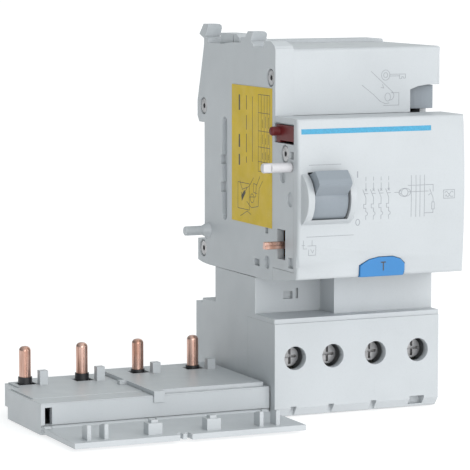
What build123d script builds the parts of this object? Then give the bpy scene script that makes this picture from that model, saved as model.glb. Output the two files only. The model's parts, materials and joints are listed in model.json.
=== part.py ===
from build123d import *
import math
import os

# Four-pole add-on residual current block: a three-module body and a low arm of plug pins that reaches
# left, under the circuit breaker it is clipped to.
# Working coordinates, in mm: X to the right from the body's left side, Y backwards from the nose's
# front, Z up from the nose's bottom edge. export_all moves everything to the frame of the part:
# origin at the bottom centre, front facing -Y, +Z up.

# Overall sizes
BODY_WIDTH = 52.9
ARM_LENGTH = 69.8
NOSE_HEIGHT = 45.0
NOSE_DEPTH = 14.2
NOSE_BULGE = 1.1
BODY_TOP = 64.0
FIN_TOP = 66.0
BODY_BOTTOM = -2.2
BODY_BACK = 64.4
FLANGE_BACK = 69.7
BASE = -41.5
WALL = 2.0
SPLIT_X = BODY_WIDTH / 2
FIN_WIDTH = 5.7
HOOK_WIDTH = 4.8
HOOK_ROUND = 1.5

# Rail seat for a 35 mm top-hat rail
RAIL_LOW = 4.9
RAIL_HIGH = 40.2
RAIL_LIP_GAP = 1.4
CLAW_OVERLAP = 1.9
CLAW_X = (14.0, 39.0)

# Terminal block and neck
BLOCK_FRONT = 14.3
BLOCK_SPLIT = 33.2
BLOCK_BACK = 66.0
BLOCK_TOP = -14.4
DECK_TOP = -13.0
FIN_BACK = 70.9
BLOCK_FIN_WIDTH = 4.6
NECK_FRONT = 18.9
NECK_BACK = 56.4
POCKET_BACK = 27.9
POCKET_RIGHT = 21.0
TERMINAL_X = (6.5, 18.5, 32.2, 46.0)
TERMINAL_Z = -24.5
ACCESS_RADIUS = 3.4
ENTRY_HALF_WIDTH = 4.0
ENTRY_Y = (29.7, 35.8)
CHAMBER_HALF_WIDTH = 5.4
CHAMBER_FRONT = 17.0
CHAMBER_Z = (-31.0, -17.9)
CHAMFER = 2.6

# Terminal screws and cages
HEAD_RADIUS = 2.8
HEAD_Y = (18.4, 21.4)
SHANK_RADIUS = 2.0
SHANK_END = 27.6
CAGE_HALF_WIDTH = 5.0
CAGE_Y = (26.2, 37.2)
CAGE_HALF_HEIGHT = 5.0
CAGE_WALL = 1.2

# Arm, plug pins and flap
ARM_FRONT = 17.2
ARM_BACK = 59.6
ARM_END_BACK = 45.0
ARM_STEP_X = (-67.0, -61.5)
ARM_STEP_BACK = 55.4
ARM_STEP_BOTTOM = -39.6
ARM_TOP = -33.0
COVER_TOP = -32.6
RAISED_TOP = -31.5
RAISED_LEFT = -36.2
ARM_GAP = 0.3
COVER_INSET = 0.8
PIN_PITCH = 17.5
FIRST_PIN_X = -62.5
PIN_Y = 50.5
PIN_RADIUS = 1.7
PIN_TOP = -21.7
PIN_FOOT = -37.8
PIN_SHANK_RADIUS = 1.5
SLEEVE_RADIUS = 2.05
SLEEVE_TOP = -30.6
SOCKET_HALF = 2.4
SOCKET_EXTRA = 0.6
POST_OFFSET = 2.9
POST_SIDE = 2.5
POST_BACK = 48.4
POST_TOP = -28.5
FLAP_THICKNESS = 1.6
FLAP_FRONT = -8.6
HINGE_Y = 15.9
HINGE_Z = -40.0
HINGE_RADIUS = 0.6
KNUCKLE_RADIUS = 1.2

# Conductors
LANE_Y = (43.4, 45.8, 48.2, 50.5)
RISER_X = 6.0
CORE_CENTRE = (26.5, 36.0)
DROP_PITCH = 3.0
STRIP = 1.2
TOP_LEVELS = (18.4, 20.4, 22.4, 24.4)

# Toggle
TOGGLE_Y = 1.9
TOGGLE_Z = 22.6
TOGGLE_X = (3.2, 13.5)
DRUM_RADIUS = 7.05
DRUM_GAP = 0.2
CHEEK_X = (0.9, 16.0)
CHEEK_RADIUS = 7.7
CHEEK_BACK_RADIUS = 6.5
WINDOW_X = (2.9, 14.1)
WINDOW_Z = (17.0, 30.2)
SHAFT_RADIUS = 1.2
SPRING_X = 10.2
FIT = 0.05

# Pins, lever and buttons on the body
COUPLING_Y = 3.7
COUPLING_Z = 31.4
COUPLING_RADIUS = 1.4
COUPLING_LENGTH = 8.9
COUPLING_GAP = 0.3
CRANK_X = (3.0, 4.4)
CRANK_REACH = 3.6
CRANK_HALF_WIDTH = 0.9
CRANK_HUB_RADIUS = 1.6
COUPLING_SHANK_RADIUS = 1.1
LOCATING_Y = 61.6
LOCATING_Z = 8.0
LOCATING_RADIUS = 1.4
LEVER_PIVOT = (1.6, 3.4)
LEVER_Z = (38.5, 42.9)
LEVER_PIN_RADIUS = 0.5
RELEASE_Y = 18.7
RELEASE_X = (44.2, 52.7)
RELEASE_Z = (45.7, 52.5)
NOTCH_X = 42.9
NOTCH_TOP = 52.9
BUTTON_X = (19.5, 33.7)
LABEL_Y = (16.3, 44.0)
LABEL_Z = (12.9, 52.7)
LABEL_THICKNESS = 0.15

# Rivets through both shells: (Y, Z)
RIVETS = ((65.1, 45.1), (17.4, 55.7), (7.8, 34.8), (65.5, 2.2))
RIVET_RADIUS = 1.2
RIVET_HEAD = 2.1
RECESS_RADIUS = 2.6
RECESS_DEPTH = 0.9
BLIND_LENGTH = 12.0

# Rail clip
CLIP_X = (20.5, 32.5)
CLIP_Y = (66.2, 68.6)
CLIP_Z = (-36.0, 6.8)


# Boxes are (x low, x high, y low, y high, z low, z high). A table with fewer numbers leaves out the
# first ones, which the function that uses it gives.
# Solids that join one another lap by this much
LAP = 0.2

# Inside the shells
NOSE_INSET = 1.9
LEDGE_BACK = 16.15
NOSE_CAVITY = (1.0, 18.0, 1.0, NOSE_HEIGHT - 0.8)
NECK_PASSAGE_Y = (31.0, 54.4)
CLIP_CLEARANCE = 0.15
REAR_TIER = (50.9, 61.0, BODY_TOP - 0.5, BODY_TOP + 0.9)
CLAW_BACK = 68.2
FIN_STOP_BLOCK = (1.4, 6.4, 46.7, 55.8, BODY_TOP - 0.5, 67.2)
CORE_LEDGE = (WALL - LAP, 15.0, 33.0, 39.0, 0.2, 2.1)

# Left side wall: pockets as (depth, y low, y high, z low, z high), round ones as (depth, y, z, radius)
POCKETS = (
    (2.6, 2.0, 14.7, 37.7, 43.2),
    (0.9, 18.9, 20.9, 11.2, 12.8),
    (2.6, 7.5, 12.8, 4.8, 13.3),
    (1.2, 24.7, 28.3, 1.2, 3.2),
    (0.9, 2.2, 5.5, 2.9, 5.8),
    (1.3, 47.6, 51.2, 14.0, 41.0),
    (1.3, 50.0, 52.2, 28.7, 31.4),
    (1.3, 50.0, 52.2, 20.4, 23.4),
)
ROUND_POCKETS = (
    (0.9, 9.2, 28.3, 1.9),
    (0.6, 4.4, 22.2, 2.1),
    (0.9, 19.6, 2.9, 1.9),
    (1.3, 49.4, 41.0, 1.8),
    (1.3, 49.4, 14.0, 1.8),
)
CORNER_POCKET = (-1, 2.6, 2.1, 4.3, 33.6, 35.7)
RIVET_BOSS = 3.6
PIN_TO_CUT = (37.1, 44.2)
LEVER_BEARING = (WALL - LAP, 3.2, 2.1, 4.8)

# Test circuit, relay, latch and board inside the body
SPRING_POST = (23.6, 29.6, 10.1, 11.9, 1.7, 6.0)
BUTTON_FLANGE = (BUTTON_X[0] - 0.9, BUTTON_X[1] + 0.9, 2.1, 3.2, 2.1, 7.4)
CONTACT_BLADE = (-5.3, 8.0, 9.1, 11.2, 7.9, 8.9)
CONTACT_RIB = (-5.3, 1.0, 9.4, 10.9, 8.9, 9.9)
CONTACT_FOOT = (6.8, 8.0, 9.1, 11.2, 1.8, 8.9)
# Centre in plan, then (z low, z high, radius)
RESISTOR_AT = (12.0, 10.5)
RESISTOR_BODY = (4.0, 12.0, 1.6)
RESISTOR_LEAD = (1.8, 15.0, 0.35)
RELEASE_STOP = (45.0, BODY_WIDTH - WALL + LAP, 24.2, 26.0, 46.0, 52.0)
CORE_Z = (3.0, 13.0)
CORE_RADII = (8.6, 13.0)
WINDING_TURNS = 16
WINDING_OUTSIDE = (7.8, 13.8, -0.3, 0.3, 2.2, 13.8)
WINDING_INSIDE = (8.5, 13.1, -1, 1, 2.9, 13.1)
RELAY_CASE = (34.0, 48.0, 24.0, 34.0, 30.0, 44.0)
RELAY_SHELF = (33.0, BODY_WIDTH - WALL + LAP, 23.0, 35.0, 28.4, 30.0)
PLUNGER_AT = (38.0, 29.0)
PLUNGER_Z = (36.4, 46.7)
PLUNGER_BORE_Z = (36.0, 46.0)
PLUNGER_RADIUS = 1.0
LATCH_X = 24.0
LATCH_Z = 47.5
LATCH_ARM = (22.0, 40.0, 28.0, 30.0, 46.8, 48.2)
LATCH_CATCH = (22.0, 23.6, 28.0, 30.0, 41.0, 48.0)
# (y low, y high, radius)
LATCH_HUB = (26.0, 32.0, 1.8)
LATCH_PIN_Y = (25.5, 35.0)
LATCH_PIN_RADIUS = 0.9
LATCH_RIB = (WALL - LAP, 25.8, 33.0, 35.0, 44.0, 51.0)
BOARD = (18.0, 50.0, 58.6, 60.2, 8.0, 54.0)
BOARD_CHIP = (24.0, 31.0, 56.8, 58.6, 26.0, 33.0)
BOARD_SOCKET = (36.0, 46.0, 55.8, 58.6, 38.0, 46.0)
TOP_RAIL = (44.0, 51.0, 57.2, 62.5, 52.6, 55.4)
TOP_GROOVE = (43.0, 50.05, 58.55, 60.25, 50.0, 54.05)
LOW_RAIL = (44.0, 51.0, 57.2, 62.5, 6.6, 9.4)
LOW_GROOVE = (43.0, 50.05, 58.55, 60.25, 7.95, 12.0)

# Small features of the terminal block, the arm and the flap
TOP_RUN_FLOOR = -17.9
TOP_RUN_FRONT = 26.0
REAR_CAVITY_FRONT = 42.0
REAR_CHAMBER_BACK = 39.0
FRONT_SLOT_X = (6.0, 18.0, 31.7)
FRONT_SLOT_HALF = 0.85
WIDE_SLOT = (43.5, 48.2, BLOCK_FRONT - 1, BLOCK_FRONT + 3.0, BASE + 0.9, BASE + CHAMFER + 0.8)
NECK_MARKS = (
    (9.1, 12.0, POCKET_BACK - 1, POCKET_BACK + 1.2, -9.2, -7.0),
    (13.0, 13.8, POCKET_BACK - 1, POCKET_BACK + 0.8, -9.2, -6.2),
)
SPRING_POCKET = (CLIP_X[0] + 3.0, CLIP_X[1] - 3.0, BLOCK_BACK - 5.2, BLOCK_BACK + 1, -31.0, -17.0)
POCKET_WALLS = (CLIP_X[0] + 1.6, CLIP_X[1] - 1.6, BLOCK_BACK - 6.6, BLOCK_BACK - 0.5, -32.4, -15.6)
LANE_MARGIN = 1.2
LANE_Z = (PIN_FOOT - STRIP - 0.6, PIN_FOOT + 0.8)
PLATE_STEP = 8.2
POST_CLIP_X = (-45.0, -27.6)
SNAP_CLIP_X = (-64.6, -59.6, -13.6, -8.6)
CLIP_HALF = 0.6
CLIP_HOLE = (24.0, 29.0, 60.0, 80.0, CLIP_Z[0] + 3.0, CLIP_Z[0] + 5.6)
CLIP_FOOT = (CLIP_X[0] + 3.4, CLIP_X[1] - 3.4, BLOCK_BACK - 4.8, CLIP_Y[0] + 0.1, -19.4, -17.4)
STRIP_DROP_Z = (-17.4, -16.2)
# Strip's end beside the screw: (half width, front, back, foot)
TONGUE = (3.0, 27.8, 29.2, -28.4)
TONGUE_LAP = 29.4


def block(x0, x1, y0, y1, z0, z1):
    """Box between two opposite corners."""
    centre = Pos((x0 + x1) / 2, (y0 + y1) / 2, (z0 + z1) / 2)
    return centre * Box(x1 - x0, y1 - y0, z1 - z0)


def rod_x(x0, x1, y, z, radius):
    """Cylinder along X."""
    return Pos((x0 + x1) / 2, y, z) * Rot(0, 90, 0) * Cylinder(radius, x1 - x0)


def rod_y(x, y0, y1, z, radius):
    """Cylinder along Y."""
    return Pos(x, (y0 + y1) / 2, z) * Rot(90, 0, 0) * Cylinder(radius, y1 - y0)


def rod_z(x, y, z0, z1, radius):
    """Cylinder along Z."""
    return Pos(x, y, (z0 + z1) / 2) * Cylinder(radius, z1 - z0)


def side_plate(points, x0, x1):
    """Extrude an outline of (Y, Z) points along X."""
    plane = Plane(origin=(x0, 0, 0), x_dir=(0, 1, 0), z_dir=(1, 0, 0))
    outline = make_face(Polyline(*points, close=True))
    return extrude(plane * outline, amount=x1 - x0)


def front_plate(points, y0, y1):
    """Extrude an outline of (X, Z) points along Y."""
    plane = Plane(origin=(0, y1, 0), x_dir=(1, 0, 0), z_dir=(0, -1, 0))
    outline = make_face(Polyline(*points, close=True))
    return extrude(plane * outline, amount=y1 - y0)


def plan_plate(points, z0, z1):
    """Extrude an outline of (X, Y) points along Z."""
    outline = make_face(Polyline(*points, close=True))
    return extrude(Plane.XY.offset(z0) * outline, amount=z1 - z0)


def strip_between(start, end, width, z0, z1):
    """Flat bar in plan from one (X, Y) point to another."""
    dx = end[0] - start[0]
    dy = end[1] - start[1]
    length = math.hypot(dx, dy)
    across_x = -dy / length * width / 2
    across_y = dx / length * width / 2
    corners = [
        (start[0] + across_x, start[1] + across_y),
        (end[0] + across_x, end[1] + across_y),
        (end[0] - across_x, end[1] - across_y),
        (start[0] - across_x, start[1] - across_y),
    ]
    return plan_plate(corners, z0, z1)


def coil(radius, wire_radius, height, turns):
    """Compression spring along +Z from the origin."""
    pitch = (height - 2 * wire_radius) / turns
    path = Pos(0, 0, wire_radius) * Helix(pitch=pitch, height=pitch * turns, radius=radius)
    section = Plane(origin=path @ 0, z_dir=path % 0) * Circle(wire_radius)
    return sweep(section, path=path, is_frenet=True)


def rivet_recesses(x_outer, inward):
    """Round recess around each rivet head on one side of the body."""
    low = min(x_outer - inward, x_outer + inward * RECESS_DEPTH)
    high = max(x_outer - inward, x_outer + inward * RECESS_DEPTH)
    cutters = [rod_x(low, high, y, z, RECESS_RADIUS) for y, z in RIVETS]
    return cutters


def rivet_holes():
    """Shank bores for the rivets; the lowest one stops short of the rail clip."""
    bores = [rod_x(-1, BODY_WIDTH + 1, y, z, RIVET_RADIUS) for y, z in RIVETS[:-1]]
    y, z = RIVETS[-1]
    bores.append(rod_x(-1, BLIND_LENGTH, y, z, RIVET_RADIUS))
    bores.append(rod_x(BODY_WIDTH - BLIND_LENGTH, BODY_WIDTH + 1, y, z, RIVET_RADIUS))
    return bores


def body_outline():
    """Side outline shared by both shells, without the hooks."""
    return [
        (1.9, 1.9),
        (15.9, 1.9),
        (15.9, BODY_BOTTOM),
        (61.0, -2.4),
        (65.6, -2.2),
        (69.4, -1.6),
        (69.4, RAIL_LOW),
        (BODY_BACK, RAIL_LOW),
        (BODY_BACK, RAIL_HIGH),
        (68.4, RAIL_HIGH),
        (FLANGE_BACK, 42.0),
        (FLANGE_BACK, 46.5),
        (67.3, 54.3),
        (64.6, BODY_TOP),
        (NOSE_DEPTH, BODY_TOP),
        (NOSE_DEPTH, NOSE_HEIGHT + 0.1),
        (NOSE_DEPTH, NOSE_HEIGHT - 1.7),
        (1.9, NOSE_HEIGHT - 1.7),
    ]


def body_cavity():
    """Side outline of the space inside the shells."""
    return [
        (18.0, BODY_BOTTOM + WALL),
        (62.4, BODY_BOTTOM + WALL),
        (62.4, BODY_TOP - WALL),
        (16.2, BODY_TOP - WALL),
        (16.2, 1.0),
        (18.0, 1.0),
    ]


def shell_half(x0, x1):
    """One half of the clamshell: outline less the space inside it."""
    shell = side_plate(body_outline(), x0, x1)
    inside_low = max(x0, WALL)
    inside_high = min(x1, BODY_WIDTH - WALL)
    shell -= side_plate(body_cavity(), inside_low, inside_high)
    shell -= block(inside_low, inside_high, *NOSE_CAVITY)
    shell -= block(FIN_WIDTH, x1 + 1, NOSE_DEPTH - 1, LEDGE_BACK, NOSE_HEIGHT - 2, BODY_TOP - 1.4)
    shell -= block(FIN_WIDTH, x1 + 1, NOSE_DEPTH - 1, 15.0, BODY_TOP - 1.5, BODY_TOP + 1)
    shell -= block(inside_low, inside_high, *NECK_PASSAGE_Y, BODY_BOTTOM - 1, 1.0)
    clip_low = CLIP_X[0] - CLIP_CLEARANCE
    clip_high = CLIP_X[1] + CLIP_CLEARANCE
    guide_front = CLIP_Y[0] - CLIP_CLEARANCE
    guide_back = CLIP_Y[1] + CLIP_CLEARANCE
    shell -= block(clip_low, clip_high, guide_front, guide_back, -3.0, 8.0)
    nose_front = BODY_BACK + RAIL_LIP_GAP - CLIP_CLEARANCE
    shell -= block(clip_low, clip_high, nose_front, CLIP_Y[0], 0.8, 8.0)
    return shell


def rear_tier(x0, x1):
    """Slightly raised strip along the back of the top."""
    return block(x0, x1, *REAR_TIER)


def rail_claw(x0, x1):
    """Fixed claw behind the rail's upper lip."""
    lip_back = BODY_BACK + RAIL_LIP_GAP
    return block(x0, x1, lip_back, CLAW_BACK, RAIL_HIGH - CLAW_OVERLAP, RAIL_HIGH + 1.0)


def hook(base_y, top_z):
    """Leaning finger on the fin that clips over the breaker's top edge, with the gap in front of it."""
    foot_z = BODY_TOP - 1.0
    outline = [
        (base_y, foot_z),
        (base_y, top_z - 4.3),
        (base_y + 3.5, top_z - 3.1),
        (base_y + 0.4, top_z),
        (base_y - 3.2, top_z),
        (base_y - 0.9, top_z - 3.8),
        (base_y - 2.9, top_z - 4.4),
        (base_y - 2.9, foot_z),
    ]
    finger = side_plate(outline, 0.0, HOOK_WIDTH)
    corners = finger.edges().filter_by(Axis.Y).filter_by(lambda e: e.center().X > HOOK_WIDTH - 0.1)
    return fillet(corners.sort_by(Axis.Z)[-1], HOOK_ROUND)


def left_fin():
    """Raised edge along the left shell's top, with its two hooks and the stops between them."""
    outline = [
        (NOSE_DEPTH, BODY_TOP - 3.0),
        (NOSE_DEPTH, 63.4),
        (14.8, 64.7),
        (17.2, FIN_TOP),
        (21.9, FIN_TOP),
        (21.9, 63.0),
        (29.7, 63.0),
        (29.7, 64.8),
        (33.0, 66.6),
        (37.9, 66.5),
        (37.9, 64.9),
        (44.0, 64.8),
        (52.0, 64.1),
        (56.8, 64.1),
        (56.8, 62.6),
    ]
    fin = side_plate(outline, 0.0, FIN_WIDTH)
    tab_edge = fin.edges().filter_by(Axis.Y).filter_by(lambda e: e.center().X > FIN_WIDTH - 0.1)
    tab_edge = tab_edge.filter_by(lambda e: e.center().Y < 22 and e.center().Z > FIN_TOP - 0.1)
    fin = fillet(tab_edge, 1.6)
    fin += hook(32.7, 68.4)
    fin += hook(64.7, 69.6)
    fin += block(*FIN_STOP_BLOCK)
    stop = [(46.0, BODY_TOP - 0.5), (46.0, 67.2), (44.0, 67.1), (42.2, 66.1), (42.2, BODY_TOP - 0.5)]
    return fin + side_plate(stop, 1.4, 6.4)


def left_side_openings():
    """Slots and holes in the left side wall."""
    cutters = [block(-1, depth, *sides) for depth, *sides in POCKETS]
    cutters += [rod_x(-1, depth, y, z, radius) for depth, y, z, radius in ROUND_POCKETS]
    rivet_y, rivet_z = RIVETS[2]
    cutters.append(block(*CORNER_POCKET) - rod_x(-2, 4, rivet_y, rivet_z, RIVET_BOSS))
    cutters.append(rod_x(-1, 3, COUPLING_Y, COUPLING_Z, COUPLING_SHANK_RADIUS + FIT))
    cutters.append(rod_x(-1, 3, LOCATING_Y, LOCATING_Z, LOCATING_RADIUS))
    cheek_room = CHEEK_BACK_RADIUS + DRUM_GAP
    cutters.append(rod_x(CHEEK_X[0] - 0.1, 3, TOGGLE_Y, TOGGLE_Z, cheek_room))
    cutters.append(rod_z(*LEVER_PIVOT, *PIN_TO_CUT, LEVER_PIN_RADIUS))
    return cutters


def left_shell():
    shell = shell_half(0.0, SPLIT_X)
    shell += rear_tier(FIN_WIDTH + 1, SPLIT_X)
    shell += left_fin()
    shell += rail_claw(CLAW_X[0], CLIP_X[0] - 0.3)
    for z0, z1 in ((36.0, 37.7), (43.2, NOSE_HEIGHT - 1.7)):
        shell += block(*LEVER_BEARING, z0, z1)
    for cutter in left_side_openings() + rivet_recesses(0.0, 1.0) + rivet_holes():
        shell -= cutter
    return shell


def right_shell():
    shell = shell_half(SPLIT_X, BODY_WIDTH)
    shell += rear_tier(SPLIT_X, BODY_WIDTH)
    shell += rail_claw(CLIP_X[1] + 0.3, CLAW_X[1])
    notch_back = RELEASE_Y + 4.6
    shell -= block(NOTCH_X, BODY_WIDTH + 1, NOSE_DEPTH - 1, notch_back, NOSE_HEIGHT - 2, NOTCH_TOP)
    wall_inside = BODY_WIDTH - WALL
    shell += block(wall_inside, BODY_WIDTH, NOSE_INSET, notch_back, NOSE_HEIGHT - 2.6, NOSE_HEIGHT - 1.7)
    top_edge = shell.edges().filter_by(Axis.Y).filter_by(lambda e: e.center().Z > BODY_TOP - 0.1)
    corner = top_edge.filter_by(lambda e: e.center().X > BODY_WIDTH - 0.1)
    shell = fillet(corner, 0.7)
    for cutter in rivet_recesses(BODY_WIDTH, -1.0) + rivet_holes():
        shell -= cutter
    return shell


def nose_section():
    """Bulged front wall, top wall and sloping bottom lip of the front cover, as one outline."""
    bulge = ThreePointArc((0, 0), (-NOSE_BULGE, NOSE_HEIGHT / 2), (0, NOSE_HEIGHT))
    rest = Polyline(
        (0, NOSE_HEIGHT),
        (NOSE_DEPTH - 0.05, NOSE_HEIGHT),
        (NOSE_DEPTH - 0.05, NOSE_HEIGHT - 1.6),
        (1.8, NOSE_HEIGHT - 1.6),
        (1.8, 1.8),
        (15.8, 1.8),
        (15.8, BODY_BOTTOM + 0.2),
        (0, 0),
    )
    return make_face(Curve() + [bulge, rest])


def button_outline(clearance):
    """Outline of the test button, arched at the top and open at the bottom, grown by a clearance."""
    return [
        (BUTTON_X[0] - clearance, -0.1 - clearance),
        (BUTTON_X[0] - clearance, 3.2 + clearance),
        (22.4, 4.8 + clearance),
        (25.4, 5.4 + clearance),
        (30.0, 5.4 + clearance),
        (32.4, 4.6 + clearance),
        (BUTTON_X[1] + clearance, 3.3 + clearance),
        (BUTTON_X[1] + clearance, 1.4),
        (33.2, -0.1 - clearance),
    ]


def front_cover():
    plane = Plane(origin=(0, 0, 0), x_dir=(0, 1, 0), z_dir=(1, 0, 0))
    cover = extrude(plane * nose_section(), amount=BODY_WIDTH)
    front_edges = cover.edges().filter_by(lambda e: e.center().Y < 0.2)
    cover = fillet(front_edges, 0.9)
    bulge = rod_x(CHEEK_X[0], CHEEK_X[1], TOGGLE_Y, TOGGLE_Z, CHEEK_RADIUS)
    bulge = fillet(bulge.edges(), 0.25) - block(0, 20, TOGGLE_Y - 0.2, 12, 10, 35)
    cover += bulge
    cover += rod_x(CHEEK_X[0], CHEEK_X[1], TOGGLE_Y, TOGGLE_Z, CHEEK_BACK_RADIUS)
    cover -= block(WINDOW_X[0], WINDOW_X[1], -12, 12, WINDOW_Z[0], WINDOW_Z[1])
    cover -= rod_x(WINDOW_X[0], WINDOW_X[1], TOGGLE_Y, TOGGLE_Z, DRUM_RADIUS + DRUM_GAP)
    cover -= rod_x(1.4, 19.0, TOGGLE_Y, TOGGLE_Z, SHAFT_RADIUS + FIT)
    cover -= rod_z(LEVER_PIVOT[0], LEVER_PIVOT[1], 40.0, 44.2, LEVER_PIN_RADIUS)
    cover -= front_plate(button_outline(0.15), -3.0, 8.3)
    cover -= block(BUTTON_X[0] - 0.15, BUTTON_X[1] + 0.15, -3.0, 8.3, -3.0, 1.0)
    cover -= rod_x(-1, BODY_WIDTH + 1, RIVETS[2][0], RIVETS[2][1], RIVET_RADIUS)
    return cover


def shoulder_cover():
    cover = block(FIN_WIDTH, BODY_WIDTH, NOSE_DEPTH, 16.1, NOSE_HEIGHT + 0.1, BODY_TOP)
    top_front = cover.edges().filter_by(Axis.X).sort_by(Axis.Y)[:2].sort_by(Axis.Z)[-1]
    cover = fillet(top_front, 1.0)
    corner = cover.edges().filter_by(Axis.Y).filter_by(lambda e: e.center().X > BODY_WIDTH - 0.1)
    cover = fillet(corner.sort_by(Axis.Z)[-1], 1.2)
    arch = [
        (NOTCH_X, NOSE_HEIGHT - 1),
        (NOTCH_X, 51.6),
        (45.4, 52.5),
        (48.4, NOTCH_TOP),
        (BODY_WIDTH + 1, NOTCH_TOP),
        (BODY_WIDTH + 1, NOSE_HEIGHT - 1),
    ]
    cover -= front_plate(arch, NOSE_DEPTH - 1, 17.0)
    cover -= block(FIN_WIDTH - 1, BODY_WIDTH + 1, 15.0, 17.0, BODY_TOP - 1.4, BODY_TOP + 1)
    y, z = RIVETS[1]
    return cover - rod_x(BODY_WIDTH - RECESS_DEPTH, BODY_WIDTH + 1, y, z, RECESS_RADIUS)


def chamber(x, front, back):
    """Space for one terminal's cage between two Y positions."""
    return block(x - CHAMBER_HALF_WIDTH, x + CHAMBER_HALF_WIDTH, front, back, *CHAMBER_Z)


def entry(x, front, back):
    """Cable entry from below into one chamber, between two Y positions."""
    return block(x - ENTRY_HALF_WIDTH, x + ENTRY_HALF_WIDTH, front, back, BASE - 1, CHAMBER_Z[0] + 1)


def lane_opening(x0, x1):
    """Opening that the four conductors pass through, from the arm to the terminal block."""
    return block(x0, x1, LANE_Y[0] - LANE_MARGIN, LANE_Y[-1] + LANE_MARGIN, *LANE_Z)


def terminal_front():
    """Front half of the terminal block: screw access holes in front, cable entries underneath."""
    outline = [
        (BLOCK_FRONT, BLOCK_TOP),
        (BLOCK_FRONT, BASE + CHAMFER),
        (BLOCK_FRONT + 2.0, BASE),
        (BLOCK_SPLIT, BASE),
        (BLOCK_SPLIT, BLOCK_TOP),
    ]
    housing = side_plate(outline, 0.0, BODY_WIDTH)
    right = BODY_WIDTH - WALL
    housing -= block(WALL, right, TOP_RUN_FRONT, BLOCK_SPLIT + 1, TOP_RUN_FLOOR, BLOCK_TOP + 1)
    for x in TERMINAL_X:
        housing -= chamber(x, CHAMBER_FRONT, BLOCK_SPLIT + 1)
        housing -= rod_y(x, BLOCK_FRONT - 1, CHAMBER_FRONT + 1, TERMINAL_Z, ACCESS_RADIUS)
        housing -= entry(x, ENTRY_Y[0], BLOCK_SPLIT + 1)
    slot_top = BASE + CHAMFER + 0.4
    for x in FRONT_SLOT_X:
        low, high = x - FRONT_SLOT_HALF, x + FRONT_SLOT_HALF
        housing -= block(low, high, BLOCK_FRONT - 1, BLOCK_FRONT + 2.2, BASE - 1, slot_top)
    return housing - block(*WIDE_SLOT)


def terminal_rear():
    """Rear half of the terminal block with the deck on top and the neck that carries the body."""
    housing = block(0.0, BODY_WIDTH, BLOCK_SPLIT, BLOCK_BACK, BASE, BLOCK_TOP)
    right = BODY_WIDTH - WALL
    housing -= block(WALL, right, REAR_CAVITY_FRONT, BLOCK_BACK - WALL, BASE + WALL, BLOCK_TOP + 1)
    run_back = REAR_CAVITY_FRONT + 1
    housing -= block(WALL, right, BLOCK_SPLIT - 1, run_back, TOP_RUN_FLOOR, BLOCK_TOP + 1)
    for x in TERMINAL_X:
        housing -= chamber(x, BLOCK_SPLIT - 1, REAR_CHAMBER_BACK)
        housing -= entry(x, BLOCK_SPLIT - 1, ENTRY_Y[1])
    housing += block(0.0, BLOCK_FIN_WIDTH, BLOCK_BACK, FIN_BACK, BASE, BLOCK_TOP)
    deck = block(0.0, BODY_WIDTH, BLOCK_FRONT + 0.3, BLOCK_BACK, BLOCK_TOP, DECK_TOP)
    neck_plan = [
        (0.0, POCKET_BACK),
        (0.0, NECK_BACK),
        (BODY_WIDTH, NECK_BACK),
        (BODY_WIDTH, NECK_FRONT),
        (POCKET_RIGHT, NECK_FRONT),
        (POCKET_RIGHT, POCKET_BACK),
    ]
    inner_plan = [
        (WALL, POCKET_BACK + WALL),
        (WALL, NECK_BACK - WALL),
        (BODY_WIDTH - WALL, NECK_BACK - WALL),
        (BODY_WIDTH - WALL, NECK_FRONT + WALL),
        (POCKET_RIGHT + WALL, NECK_FRONT + WALL),
        (POCKET_RIGHT + WALL, POCKET_BACK + WALL),
    ]
    neck = plan_plate(neck_plan, DECK_TOP - 0.4, BODY_BOTTOM - 0.25)
    housing += deck + neck
    housing -= plan_plate(inner_plan, BLOCK_TOP - 0.5, BODY_BOTTOM + 1)
    for mark in NECK_MARKS:
        housing -= block(*mark)
    housing -= lane_opening(-1, WALL + 1)
    return housing + block(*POCKET_WALLS) - block(*SPRING_POCKET)


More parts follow.
